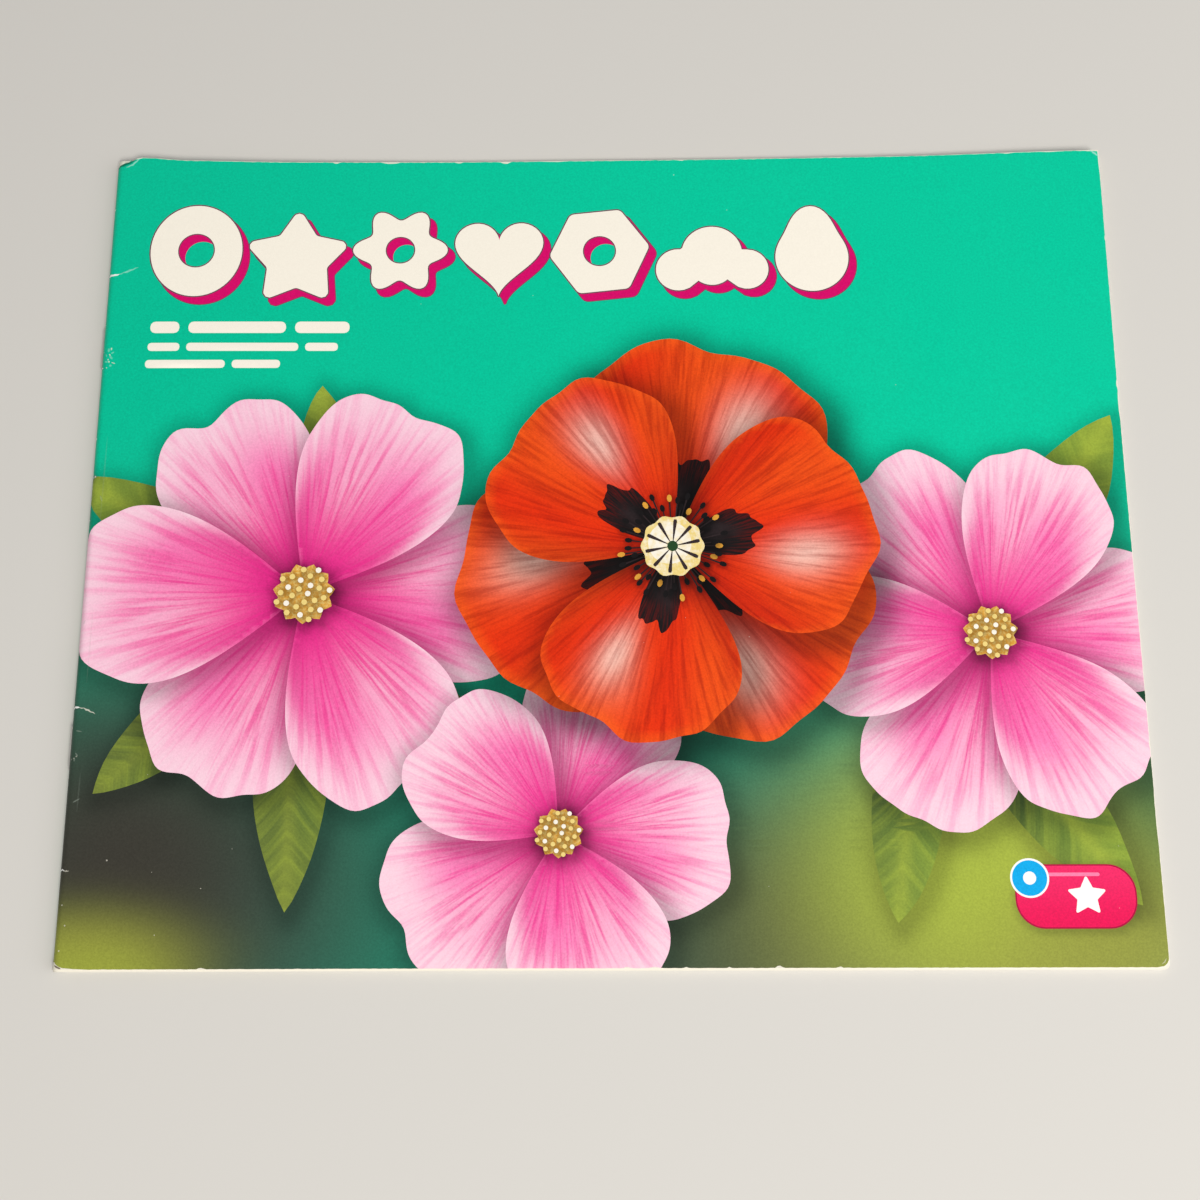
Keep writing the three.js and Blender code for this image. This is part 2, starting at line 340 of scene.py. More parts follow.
GROUND_PATCHES = [               # centre, width, height, ink and strength
    (12, 18, 64, 56, CHARCOAL, 1.0), (140, 2, 46, 40, CHARCOAL, 0.9), (196, 8, 52, 42, OLIVE, 1.0),
    (184, 22, 30, 24, LIME, 0.75), (214, 4, 26, 16, OLIVE, 0.7), (224, 52, 20, 30, LEAF_SHADE, 0.75),
    (5, 1, 24, 11, OLIVE, 1.0), (8, -2, 16, 7, LIME, 0.25),
]


def meadow_paint(points):
    """Out-of-focus ground of the cover: teal above, darker below, with glowing lower corners."""
    x, y = points[:, 0], points[:, 1]
    low = smooth(92, 30, y + 10 * np.sin(x / 31))
    patches = [(tone, amount * np.exp(-(((x - at_x) / wide) ** 2 + ((y - at_y) / tall) ** 2) ** 1.4))
               for at_x, at_y, wide, tall, tone, amount in GROUND_PATCHES]
    # partly painted light: the teal grows lighter towards the right and the head, standing in for the light
    # from the right as well as varying in the print
    colour = layered(TEAL, (TEAL_LIGHT, smooth(60, 200, x + 0.4 * y)), (TEAL_DEEP, 0.8 * low), *patches)
    return colour, colour, 0.0, points * 0.1


# ---- drawing: motifs

def heart_outline(size):
    angles = np.linspace(FULL, 0, 72, endpoint=False)
    up = 13 * np.cos(angles) - 5 * np.cos(2 * angles) - 2 * np.cos(3 * angles) - np.cos(4 * angles)
    return np.stack([16 * np.sin(angles) ** 3, up + 2.5], 1) * size / 34


def soft_polygon(corners, radius, steps=5):
    """Polygon, given anticlockwise, with each corner rounded by an arc."""
    points = []
    for before, here, after in zip(np.roll(corners, 1, 0), corners, np.roll(corners, -1, 0)):
        back, ahead = before - here, after - here
        back, ahead = back / np.hypot(*back), ahead / np.hypot(*ahead)
        half = math.acos(np.clip(back @ ahead, -1, 1)) / 2
        reach = radius / math.tan(half)
        first, last = here + back * reach, here + ahead * reach
        middle = here + (back + ahead) / np.hypot(*(back + ahead)) * radius / math.sin(half)
        for share in np.linspace(0, 1, steps):
            spoke = (first - middle) * (1 - share) + (last - middle) * share
            points.append(middle + spoke / np.hypot(*spoke) * radius)
    return np.array(points)


def corners_of(sides, size, turn, inner=1.0):
    """Corners of a regular polygon, or of a star where inner is under 1."""
    count = sides if inner == 1.0 else 2 * sides
    angles = turn + np.arange(count) * FULL / count
    return polar(np.where(np.arange(count) % (count // sides) == 0, size / 2, inner * size / 2), angles)


def cloud_outline(size):
    """Three round humps over a flat foot."""
    def radius(angle):
        spoke = np.array([math.cos(angle), math.sin(angle)])
        best = 0.2
        for x, y, hump in [(-0.3, -0.05, 0.2), (0.0, 0.1, 0.27), (0.31, -0.05, 0.19)]:
            along = spoke @ (x, y)
            within = hump ** 2 - (x * x + y * y - along ** 2)
            if within > 0:
                best = max(best, along + math.sqrt(within))
        foot = 0.25 / -spoke[1] if spoke[1] < -1e-6 else 9.0
        return size * min(best, foot)
    return polar_outline(0, 0, radius, 90)


TITLE_LEFT, TITLE_RIGHT, TITLE_LINE = 9.3, 165.0, 154.0
TITLE_SHADOW = np.array([1.45, -1.7])


def title_row():
    """Row of plain cream figures with a thin dark outline and a hard magenta shadow."""
    figures = [                  # outline about (0, 0), width of its round hole, height over the line
        (ellipse(0, 0, 20.5, 22, count=64), 8.2, 1.6),
        (soft_polygon(corners_of(5, 25, QUARTER, 0.56), 1.3), 0, 0.6),
        (polar_outline(0, 0, lambda a: 9.0 + 1.6 * math.cos(6 * a), 90), 6.6, 1.8),
        (heart_outline(21.0), 0, -0.6),
        (soft_polygon(corners_of(6, 22.5, 0.1), 1.6), 7.4, 1.2),
        (cloud_outline(25), 0, -0.8),
        (polar_outline(0, 0, lambda a: 8.1 + 4.6 * max(0, math.cos(a - QUARTER)) ** 7, 72), 0, 1.4),
    ]
    shapes = []
    widths = [np.ptp(outline[:, 0]) for outline, hole, lift in figures]
    gap = (TITLE_RIGHT - TITLE_LEFT - sum(widths)) / (len(widths) - 1)
    x = TITLE_LEFT
    for (outline, hole, lift), wide in zip(figures, widths):
        centre = np.array([x + wide / 2, TITLE_LINE + lift])
        figure = outline + centre - (outline.max(0) + outline.min(0)) / 2
        shapes += [patch(grown(figure, 0.42) + TITLE_SHADOW, OUTLINE_GREY),
                   patch(grown(figure, 0.24) + TITLE_SHADOW, MAGENTA),
                   patch(grown(figure, 0.28), OUTLINE_GREY), patch(figure, CREAM)]
        if hole:
            opening = patch(ellipse(*centre, hole - 0.5), MAGENTA)
            ground = Shape(ellipse(*(centre + TITLE_SHADOW), hole - 0.5), meadow_paint, inside=opening)
            shapes += [patch(ellipse(*centre, hole), OUTLINE_GREY), opening, ground]
        x += wide + gap
    return shapes


def word_bars(x, y, tall, words, colour, space=1.4):
    """A line of round-ended bars, where a line of small words would be."""
    shapes = []
    for wide in words:
        shapes.append(patch(rounded_box(x + wide / 2, y, wide, tall, tall * 0.42, steps=3), colour))
        x += wide + space
    return shapes


def badge(x, y):
    """Plain crimson badge with a star and a small cyan disc."""
    def shaded(points):
        colour = blend_ink(CRIMSON, CRIMSON_LIGHT, 0.35 * smooth(y - 6, y + 7, points[:, 1]))
        return colour, colour, 0.0, points
    star = soft_polygon(corners_of(5, 8.4, QUARTER, 0.5), 0.25, 3) + (x + 2.2, y)
    discs = [patch(ellipse(x - 9.0, y + 3.6, wide), tone)
             for wide, tone in [(7.8, WHITE), (7.0, CYAN), (2.6, WHITE)]]
    return [
        patch(rounded_box(x, y, 24.2, 12.6, 5.6), CRIMSON_RIM, (0.4, -0.4, 1.0, 0.3)),
        Shape(rounded_box(x, y, 23.6, 12.0, 5.4), shaded),
        patch(rounded_box(x - 1.5, y + 4.3, 13.0, 0.7, 0.33, steps=3), ROSE),
        patch(star, WHITE),
    ] + discs


def pink_flower(x, y, length, petals, turn, light, seed):
    """Blossom of streaked petals round a golden middle."""
    shapes = []
    step = FULL / petals
    for n in [*range(0, petals, 2), *range(1, petals, 2)]:
        petal = Petal(x, y, turn + n * step, length * (1 + 0.05 * math.sin(2.3 * n + seed)),
                      step * 0.66, power=2.5, frill=0.014, notch=0.05, seed=seed + n)
        shapes.append(Shape(petal.outline(), pink_paint(petal, light), (0.9, -1.0, 3.2, 0.42)))
    eye = polar_outline(x, y, lambda a: length * (0.125 + 0.012 * math.sin(11 * a)), 44)
    shapes.append(Shape(eye, flat_paint(GOLD, YELLOW, 0.8, 1.5), (0.6, -0.6, 1.6, 0.5)))
    grains = 26
    for n in range(grains):
        far = length * 0.125 * math.sqrt((n + 0.5) / grains)
        grain = ellipse(*away(x, y, far, n * 2.4), length * 0.026, count=8)
        shapes.append(patch(grain, YELLOW if n % 3 else CREAM, (0.15, -0.2, 0.4, 0.5)))
    return shapes


def poppy(x, y, length):
    """Big red flower with black marks, a ring of dark stamens and a pale seed head."""
    shapes = []
    petals = [(200, 1.0, 58), (315, 0.98, 60), (75, 1.0, 62), (255, 0.9, 50), (10, 0.93, 56),
              (138, 0.92, 54)]   # direction, share of the length, half angle
    for seed, (turn, share, half) in enumerate(petals, 1):
        petal = Petal(x, y, math.radians(turn), length * share, math.radians(half),
                      power=2.9, frill=0.022, seed=seed)
        mark = Petal(x, y, math.radians(turn + 3), length * share * 0.43, math.radians(half * 0.47),
                     power=2.6, frill=0.055, seed=seed + 3)
        shapes.append(Shape(petal.outline(84), red_paint(petal), (1.4, -1.6, 4.5, 0.55)))
        shapes.append(Shape(mark.outline(90), blotch_paint(mark)))
    stamens, rays = 46, 10
    for n in range(stamens):
        angle = FULL * n / stamens + 0.05 * math.sin(5 * n)
        far = length * (0.215 + 0.035 * math.sin(3.7 * n))
        shapes.append(patch(Petal(x, y, angle, far, 0.022, power=8).outline(6), SOOT))
        tip = ellipse(*away(x, y, far, angle), 1.7, 1.1, 8, angle)
        shapes.append(patch(tip, BLACK if n % 4 else GOLD, (0.2, -0.3, 0.5, 0.4)))
    pod = polar_outline(x, y, lambda a: length * (0.142 + 0.006 * math.cos(10 * a)), 60)
    shapes.append(Shape(pod, flat_paint(YELLOW, CREAM, 0.7, 0.9), (0.7, -0.8, 1.8, 0.6)))
    shapes.append(Shape(ellipse(x - 0.6, y + 0.7, length * 0.2), flat_paint(CREAM, YELLOW, 0.5, 0.8)))
    for n in range(rays):
        ray = Petal(x, y, FULL * n / rays + 0.2, length * 0.128, 0.085, power=7)
        shapes.append(patch(ray.outline(8), SOOT))
    shapes.append(patch(ellipse(x, y, length * 0.05, count=16), LEAF_SHADE))
    return shapes


def greenery(leaves):
    """Leaves, each with its base, direction, length, half angle and darkness."""
    shapes = []
    for n, (x, y, turn, length, half, dark) in enumerate(leaves):
        leaf = Petal(x, y, math.radians(turn), length, math.radians(half), power=1.08, frill=0.008, seed=n)
        shapes.append(Shape(leaf.outline(61), leaf_paint(leaf, dark), (0.8, -1.0, 3.0, 0.35)))
    return shapes


def paragraph(x, y, wide, lines, tall, pitch, colour):
    """Lines of bars with uneven ends, where a block of print would be."""
    shapes = []
    space = tall * 0.7
    for line in range(lines):
        room = wide * (0.55 if line == lines - 1 else RANDOM.uniform(0.86, 1.0))
        words = []
        while sum(words) + len(words) * space < room - 3 * tall:
            words.append(RANDOM.uniform(2.2, 7.5) * tall)
        shapes += word_bars(x, y - line * pitch, tall, words, colour, space)
    return shapes


def mirrored(shapes):
    """The drawing as it lies on the underside of a sheet, so that it reads right from below."""
    flipped = []
    for shape in shapes:
        def paint(points, plain=shape.paint):
            return plain(points * (-1, 1) + (WIDTH, 0))
        shadow = shape.shadow and (-shape.shadow[0], *shape.shadow[1:])
        flipped.append(Shape(shape.outline * (-1, 1) + (WIDTH, 0), paint, shadow))
    return flipped


# ---- drawing: the printed faces

def front_art():
    """Generic cover picture: a poppy among pink blossoms on a teal ground."""
    return [
        *greenery([(56, 74, 98, 50, 34, 0.15), (46, 76, 152, 56, 30, 0.2), (190, 68, 58, 56, 34, 0.1),
                   (120, 70, 258, 74, 30, 0.35), (46, 70, 270, 58, 28, 0.5), (40, 66, 222, 46, 32, 0.55),
                   (182, 58, 308, 58, 30, 0.15), (176, 60, 262, 52, 30, 0.25), (74, 60, 296, 56, 30, 0.4)]),
        *pink_flower(47, 77, 48, 6, 0.0, 0.02, 1),
        *pink_flower(191, 68, 42, 6, 0.1, 0.1, 4),
        *pink_flower(101, 27, 37, 5, 1.2, 0.12, 9),
        *poppy(125, 87, 46),
        *title_row(),
        *word_bars(10.5, 137.2, 2.7, [6.4, 21.5, 12.0], CREAM, 2.0),
        *word_bars(10.2, 132.6, 1.9, [7.0, 24.6, 7.2], CREAM, 1.5),
        *word_bars(9.9, 128.6, 1.9, [17.5, 10.6], CREAM, 1.5),
        *badge(204.5, 14.2),
    ]


def back_art():
    """Back of the cover: a blossom, a panel of print and a plain white box."""
    return [
        *greenery([(176, 40, 58, 42, 32, 0.0), (174, 40, 148, 44, 30, 0.1), (176, 40, 236, 40, 30, 0.1)]),
        *pink_flower(176, 42, 28, 6, 0.3, 0.1, 2),
        patch(rounded_box(74, 108, 112, 92, 5), CREAM),
        patch(rounded_box(50, 143, 56, 4.6, 2.2), MAGENTA),
        *paragraph(24, 134, 98, 9, 1.9, 5.2, TEAL_DEEP),
        *paragraph(24, 80, 98, 3, 1.5, 4.4, OUTLINE_GREY),
        patch(rounded_box(38, 24, 40, 24, 0.8), WHITE),
        *(patch(ellipse(80 + 11 * n, 24, 7.6), tone)
          for n, tone in enumerate((ORANGE, YELLOW, CYAN, CRIMSON))),
    ]


def title_page_art():
    """First page: a row of figures, a heading, two lines of print and a blossom."""
    star = soft_polygon(corners_of(5, 15, QUARTER, 0.54), 0.8)
    figures = [(TEAL, ellipse(0, 0, 12)), (CRIMSON, heart_outline(13)), (ORANGE, star)]
    return [
        *pink_flower(150, 62, 46, 6, 0.2, 0.12, 3),
        *(patch(outline + (26 + 20 * n, 150), tone) for n, (tone, outline) in enumerate(figures)),
        *word_bars(20, 132, 2.4, [9, 24, 15], SOOT, 2),
        *paragraph(20, 124, 70, 2, 1.5, 4, OUTLINE_GREY),
        *word_bars(20, 14, 1.8, [16, 9, 12], OUTLINE_GREY),
    ]


def left_page_art():
    """Left page of the middle spread: a picture over the whole page."""
    return [
        Shape(rounded_box(WIDTH / 2, HEIGHT / 2, WIDTH + 2, HEIGHT + 2, 0.1), meadow_paint),
        *greenery([(112, 86, 44, 76, 30, 0.1), (110, 80, 200, 90, 28, 0.2), (112, 78, 318, 80, 30, 0.1),
                   (106, 86, 140, 74, 30, 0.1)]),
        *pink_flower(112, 86, 62, 7, 0.5, 0.1, 5),
    ]


def right_page_art():
    """Right page of the middle spread: a heading, two blocks of print and a small picture."""
    return [
        *word_bars(22, 156, 4.4, [26, 14, 38], MAGENTA, 3),
        *paragraph(22, 142, 172, 4, 3.0, 8.4, SOOT),
        *paragraph(22, 98, 96, 5, 3.0, 8.4, SOOT),
        Shape(rounded_box(166, 56, 76, 76, 4), meadow_paint),
        *pink_flower(166, 56, 33, 6, 0.9, 0.1, 8),
        *word_bars(22, 14, 1.8, [20, 11], OUTLINE_GREY),
    ]


# ---- worn places of the covers, with painted shade and painted highlights

def streak(path, width, seed=0, rough=1.0):
    """Outline of a thin line along a path, uneven, and pointed at both ends."""
    path = np.array(path, float)
    lengths = np.concatenate([[0], np.cumsum(np.hypot(*np.diff(path, axis=0).T))])
    count = max(8, int(lengths[-1] / max(width, 0.3) / 1.5))
    along = np.linspace(0, lengths[-1], count)
    centre = np.stack([np.interp(along, lengths, path[:, n]) for n in (0, 1)], 1)
    way = np.gradient(centre, axis=0)
    side = np.stack([-way[:, 1], way[:, 0]], 1) / np.hypot(way[:, 0], way[:, 1])[:, None]
    steps = np.arange(count)
    uneven = 1 + rough * (0.35 * np.sin(steps * 2.1 + seed) + 0.25 * np.sin(steps * 4.7 + 2 * seed))
    half = width / 2 * np.sin(np.linspace(0.04, math.pi - 0.04, count)) ** 0.7 * uneven
    centre = centre + side * (0.25 * rough * width * np.sin(steps * 3.3 + seed))[:, None]
    return np.concatenate([centre + side * half[:, None], (centre - side * half[:, None])[::-1]])


def soft_streak(path, width, colour, amount, layers, rough=1.0):
    """Line that fades towards its sides."""
    strength = amount / layers * SOFT_GAIN
    return [Mark(streak(path, width * (n + 1) / layers, 1, rough), colour, strength) for n in range(layers)]


def edge_strip(start, end, depth, nicks, seed):
    """Bare strip along an edge, on the left of the way from start to end, with deeper nicks, each
    with its place along the edge, its width and its depth."""
    start, end = np.array(start, float), np.array(end, float)
    length = np.hypot(*(end - start))
    way = (end - start) / length
    side = np.array([-way[1], way[0]])
    along = np.linspace(0, length, int(length / 0.5))
    wave = 0.6 + 0.25 * np.sin(along * 1.3 + seed) * np.sin(along * 0.31 + 2 * seed)
    wave += 0.3 * np.sin(along * 3.1 + seed) * np.sin(along * 0.17 + seed)
    deep = depth * np.clip(wave, 0.05, 2)
    for place, width, extra in nicks:
        deep = deep + extra * np.exp(-((along - place) / width * 1.6) ** 4)
    inner = start + along[:, None] * way + deep[:, None] * side
    return np.concatenate([inner, [end - side, start - side]])


def flecks(places, colour, amount):
    """Small oval marks, each with its centre, width and height: chips of bare card, and painted highlights
    where the ink is a glint.
    """
    return [Mark(ellipse(x, y, wide, tall, 9, 0.7 * n), colour, amount)
            for n, (x, y, wide, tall) in enumerate(places)]


def specks(count, colour, amount):
    """Tiny dots strewn over the whole cover."""
    places = [(RANDOM.uniform(4, WIDTH - 4), RANDOM.uniform(4, HEIGHT - 4)) for _ in range(count)]
    sizes = [RANDOM.uniform(0.14, 0.24) for _ in places]
    return flecks([(x, y, wide, 0.75 * wide) for (x, y), wide in zip(places, sizes)], colour, amount)


def worn_edges():
    """Bare card along the three cut edges and at the torn corners by the spine."""
    return [
        edge_strip((COVER_FORE, COVER_HEAD), (3.4, COVER_HEAD), 0.13, [
            (0, 5, 0.12), (0, 9, 0.1), (10.5, 2.6, 0.14), (20.5, 0.9, 0.18), (93.5, 0.8, 0.2),
            (122.5, 3.4, 0.1), (133.5, 1.5, 0.42), (144, 1.2, 0.22), (159.5, 2.8, 0.28),
            (172, 1.0, 0.25), (216.8, 1.0, 0.2)], 1.0),
        edge_strip((COVER_FORE, 0), (COVER_FORE, COVER_HEAD), 0.07, [
            (30, 7, 0.1), (44.5, 1.2, 0.14), (118, 4.0, 0.14), (122.5, 1.4, 0.18), (156.6, 0.8, 0.13),
            (178, 7, 0.12), (178, 13, 0.08)], 2.0),
        edge_strip((2.0, COVER_TAIL), (COVER_FORE, COVER_TAIL), 0.09, [
            (2.0, 3.0, 0.1), (28, 1.1, 0.2), (112.7, 1.1, 0.24), (118.3, 1.9, 0.2), (124.5, 0.7, 0.2),
            (133, 0.6, 0.22), (142.9, 1.0, 0.42), (155, 0.7, 0.25), (219, 2.0, 0.15)], 3.0),
        np.array([(-5, 178.5), (-5, 176.2), (-1.4, 176.5), (-0.3, 176.3), (0.4, 176.65), (1.2, 176.9),
                  (1.9, 177.25), (2.8, 177.5), (3.9, 178.5)]),
        np.array([(-5, 0), (-5, 2.3), (-1.2, 2.1), (-0.3, 1.95), (0.6, 1.9), (1.0, 1.5), (1.7, 1.05),
                  (2.4, 0.8), (4.4, 0.62), (5.5, 0)]),
    ]


CRACKS = [                       # path, width, seed and roughness of each crack from the spine
    ([(-0.9, 149.5), (0.4, 149.7), (1.6, 149.7), (2.8, 149.95)], 0.5, 3, 0.5),
    ([(-0.9, 52.3), (0.5, 53.0), (1.7, 52.9)], 0.46, 2, 0.6),
    ([(-0.9, 19.3), (-0.2, 19.6), (0.5, 20.0), (0.8, 19.95), (1.3, 19.7)], 0.27, 5, 0.2),
    ([(-0.6, 138.3), (0.2, 138.1)], 0.26, 1), ([(-0.6, 128.0), (0.6, 127.8)], 0.3, 2),
    ([(-0.5, 93.1), (0.3, 93.3)], 0.26, 4), ([(-0.5, 165.7), (0.6, 165.9)], 0.24, 6),
]
CRACK_ENDS = [                   # path, width, ink, strength and layers of each crack's faint end
    ([(2.5, 149.9), (4.5, 150.6), (6.8, 151.6)], 0.42, GLINT, 0.75, 3),
    ([(1.5, 52.92), (2.7, 52.7), (3.7, 52.2), (5.0, 51.6)], 0.34, BARE_CARD, 0.8, 3),
    ([(1.0, 19.7), (2.2, 19.7)], 0.3, BARE_CARD, 0.4, 2),
]
SPINE_RUBS = [                   # lowest and highest place, and strength
    (163, 177.5, 0.7), (165.2, 169.8, 0.9), (148, 162, 0.3), (108, 127, 0.3), (60, 96, 0.3), (3, 17, 0.4),
]
CHIPS_AND_GLINTS = [                        # bare card chips and painted highlight flecks: ink, strength, and each chip's centre, width and height
    (BARE_CARD, 0.62, [(2.25, 132.2, 0.34, 0.62), (2.0, 130.8, 0.3, 0.5), (1.7, 129.7, 0.34, 0.3),
                       (1.93, 129.2, 0.42, 0.36), (2.9, 128.9, 0.9, 0.22), (1.5, 127.8, 0.26, 0.3),
                       (0.3, 131.6, 0.3, 0.24)]),
    (GLINT, 0.4, [(1.7, 131.9, 0.5, 0.9), (2.3, 130.2, 0.5, 1.0), (1.3, 129.2, 0.4, 0.8),
                  (2.6, 131.3, 0.3, 0.8), (2.3, 128.3, 0.6, 0.5), (1.2, 130.7, 0.24, 0.7)]),
    (BARE_CARD, 0.26, [(1.3, 42.4, 0.4, 0.3), (0.7, 42.2, 0.3, 0.24), (1.8, 42.8, 0.3, 0.4)]),
    (SCUFF_AND_GLINT, 0.35, [(1.4, 42.1, 0.34, 0.7), (1.8, 43.2, 0.3, 0.9), (1.9, 48, 0.26, 1.3),
                   (2.5, 33.8, 0.3, 1.6), (1.2, 71, 0.24, 1.0), (2.6, 98, 0.24, 1.4)]),
    (BARE_CARD, 0.45, [(9.7, 21.8, 0.4, 0.34), (1.4, 4.1, 0.4, 0.34), (2.2, 9.0, 0.36, 0.3),
                       (1.3, 13.0, 0.3, 0.3), (20.3, 7.1, 0.26, 0.22), (29, 16.2, 0.26, 0.2),
                       (126.5, 174.1, 0.3, 0.24)]),
]
CORNER_CREASE_SHADING = [               # painted shade and painted highlights along the bent corners' creases at the head by the spine and by the fore-edge, and bare card at the tail
    ([(-0.3, 176.0), (1.2, 176.6), (2.7, 177.15), (4.3, 177.9)], 0.85, FOLD_DARK, 1.0, 4, 0.4),
    ([(2.3, 176.15), (3.8, 176.8), (5.5, 177.8)], 0.5, GLINT, 0.9, 3, 0.5),
    ([(219.8, 177.95), (220.9, 177.1), (221.9, 176.2)], 0.5, GLINT, 1.0, 3, 0.3),
    ([(220.3, 1.1), (220.9, 1.5), (221.3, 2.2)], 0.25, BARE_CARD, 0.35, 2, 0.5),
]
TAIL_GAP_SHADE = [(0.7, 1.35), (1.4, 0.95), (2.2, 0.62)]     # painted shade in the gap under the torn fibres


def front_wear_and_painted_light():
    """Bare edges, cracks, creases and specks of a much-read cover, with painted shade and painted
    highlights along its creases and in the gap at its tail.
    """
    marks = [Mark(outline, BARE_CARD, 0.92) for outline in worn_edges()]
    marks += [Mark(streak(*crack), WHITE, 0.97) for crack in CRACKS]
    marks.append(Mark(ellipse(0.0, 111.6, 0.6, 0.5, 9), WHITE, 0.97))
    for crack_end in CRACK_ENDS:
        marks += soft_streak(*crack_end)
    for low, high, amount in SPINE_RUBS:
        path = [(-0.2, low), (-0.12, (low + high) / 2), (-0.2, high)]
        marks += soft_streak(path, 0.42, BARE_CARD, amount, 2, 0.35)
    for colour, amount, places in CHIPS_AND_GLINTS:
        marks += flecks(places, colour, amount)
    marks += specks(26, BARE_CARD, 0.36)
    # pale streaks along the crease: rubbed film with a painted highlight
    for shift, low, high in [(0.1, 31.5, 39.5), (0.0, 58, 74), (0.1, 92, 112)]:
        path = [(CREASE_X + shift, low), (CREASE_X + shift + 0.12, high)]
        marks += soft_streak(path, 0.4, SCUFF_AND_GLINT, 0.08, 2, 0.4)
    for crease in CORNER_CREASE_SHADING:
        marks += soft_streak(*crease)
    # the last mark is painted shade in the gap under the torn fibres at the tail
    return marks + [Mark(streak(TAIL_GAP_SHADE, 0.38, 2, 0.4), GAP_SHADE, 0.85)]


def back_wear():
    """Rubbed edges and corners of the back cover, which lies on tables."""
    edges = [
        edge_strip((BACK_FORE, HEIGHT), (0, HEIGHT), 0.14, [
            (0, 4, 0.3), (38, 2, 0.25), (90, 1.4, 0.3), (151, 3, 0.2), (219, 4, 0.4)], 4.0),
        edge_strip((BACK_FORE, 0), (BACK_FORE, HEIGHT), 0.12, [
            (0, 4, 0.3), (52, 3, 0.2), (96, 1.5, 0.3), (140, 5, 0.15), (178, 4, 0.35)], 5.0),
        edge_strip((0, 0), (BACK_FORE, 0), 0.14, [
            (0, 5, 0.4), (44, 1.5, 0.3), (101, 3, 0.2), (160, 1.2, 0.35), (222, 4, 0.4)], 6.0),
        np.array([(-1, 178.5), (-1, 175.6), (1.9, 176.5), (2.8, 177.4), (3.6, 178.5)]),
        np.array([(-1, -0.5), (4.4, -0.5), (3.0, 0.8), (2.0, 1.7), (-1, 2.6)]),
    ]
    marks = [Mark(outline, BARE_CARD, 0.9) for outline in edges]
    for path, width, amount in [
        ([(60, 150), (84, 141), (97, 139)], 0.5, 0.2), ([(130, 70), (151, 76), (160, 75)], 0.4, 0.16),
        ([(196, 120), (204, 131)], 0.6, 0.2), ([(14, 60), (17, 84)], 0.5, 0.16),
        ([(217.6, 178), (221.9, 172.4)], 0.5, 0.6), ([(2.4, 24), (2.7, 96), (2.5, 160)], 0.4, 0.16),
    ]:
        marks += soft_streak(path, width, BARE_CARD, amount, 3, 0.4)
    return marks + specks(34, BARE_CARD, 0.5)


# ---- materials

def new_material(name):
    material = bpy.data.materials.new(name)
    material.use_nodes = True
    tree = material.node_tree
    return material, tree, tree.nodes["Principled BSDF"]


def set_inputs(tree, node, inputs):
    """Give a node's inputs their values, or link those whose value is another node's output."""
    for name, value in inputs.items():
        if isinstance(value, bpy.types.NodeSocket):
            tree.links.new(value, node.inputs[name])
        else:
            node.inputs[name].default_value = value


def add_node(tree, kind, inputs, **properties):
    node = tree.nodes.new("ShaderNode" + kind)
    for name, value in properties.items():
        setattr(node, name, value)
    set_inputs(tree, node, inputs)
    return node


def object_place(tree):
    return add_node(tree, "TexCoord", {}).outputs["Object"]


def noise(tree, place, scale, detail, roughness=0.5):
    inputs = {"Vector": place, "Scale": scale, "Detail": detail, "Roughness": roughness}
    return add_node(tree, "TexNoise", inputs).outputs["Fac"]


def stretched(tree, value, lows, highs, kind="LINEAR"):
    """The value, mapped from the range between lows[0] and highs[0] to lows[1] and highs[1]."""
    inputs = {"Value": value, "From Min": lows[0], "From Max": highs[0], "To Min": lows[1],
              "To Max": highs[1]}
    return add_node(tree, "MapRange", inputs, interpolation_type=kind).outputs[0]


def mixed(tree, share, first, second):
    inputs = {"Factor": share, "A": first, "B": second}
    return add_node(tree, "Mix", inputs, data_type="RGBA").outputs["Result"]


def ramp(tree, value, stops):
    """Colour between two stops, each with its value and its colour."""
    node = add_node(tree, "ValToRGB", {"Fac": value})
    for element, (position, colour) in zip(node.color_ramp.elements, stops):
        element.position = position
        element.color = (*colour, 1)
    return node.outputs["Color"]


def bump(tree, height, strength, distance):
    inputs = {"Height": height, "Strength": strength, "Distance": distance}
    return add_node(tree, "Bump", inputs).outputs["Normal"]


def print_material(name, roughness, grain, coat):
    """Offset print: the inks of the drawing with their veins, a fine grain and a thin film."""
    material, tree, shader = new_material(name)
    inks, veins, flow = [add_node(tree, "Attribute", {}, attribute_name=label)
                         for label in ("Ink", "Vein", "Flow")]
    place = object_place(tree)
    veined = stretched(tree, noise(tree, flow.outputs["Vector"], 1.0, 5.0, 0.62), (0.40, 0),
                       (0.68, 1), "SMOOTHSTEP")
    share = add_node(tree, "Math", {0: veined, 1: inks.outputs["Alpha"]}, operation="MULTIPLY")
    plain = mixed(tree, share.outputs[0], inks.outputs["Color"], veins.outputs["Color"])
    # the grain shows less on pale inks
    tone = stretched(tree, noise(tree, place, 2400.0, 3.0, 0.65), (0.3, 1 - grain), (0.7, 1 + grain))
    grained = add_node(tree, "VectorMath", {0: plain, "Scale": tone}, operation="SCALE")
    light = add_node(tree, "RGBToBW", {"Color": plain})
    pale = stretched(tree, light.outputs["Val"], (0.35, 0), (0.85, 0.8))
    smudges = stretched(tree, noise(tree, place, 38.0, 6.0, 0.6), (0.3, roughness - 0.06),
                        (0.75, roughness + 0.1))
    set_inputs(tree, shader, {
        "Base Color": mixed(tree, pale, grained.outputs[0], plain), "Roughness": smudges,
        "Normal": bump(tree, noise(tree, place, 420.0, 4.0, 0.55), 0.22, 0.00006),
        "Specular IOR Level": 0.13, "Coat Weight": coat, "Coat Roughness": 0.3})
    return material


